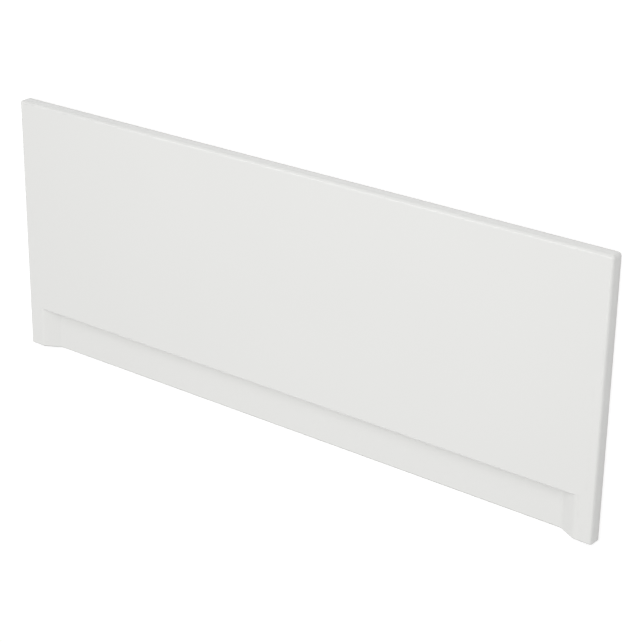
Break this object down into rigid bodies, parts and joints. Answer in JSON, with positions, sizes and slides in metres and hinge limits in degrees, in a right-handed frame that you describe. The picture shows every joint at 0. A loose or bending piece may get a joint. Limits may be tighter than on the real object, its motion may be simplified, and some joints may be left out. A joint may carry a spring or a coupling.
{
  "type": "bath panel",
  "caption": "Flat white bath front panel with rounded shallow returns along the top and both ends, and a toe recess with ramped ends along its trimmed bottom edge.",
  "frame": {"origin": "middle of the plane that the rims of the returns lie on, under the centre of the panel's outline", "axes": "+X along the bath, +Y towards the top edge that goes under the bath rim, +Z out of the face"},
  "size_m": [1.4, 0.545, 0.0245],
  "materials": {
    "white_acrylic": "white gloss sanitary acrylic, vacuum formed, matt on the back"
  },
  "bodies": {
    "root": {"bath_panel": "white_acrylic"}
  },
  "joints": []
}
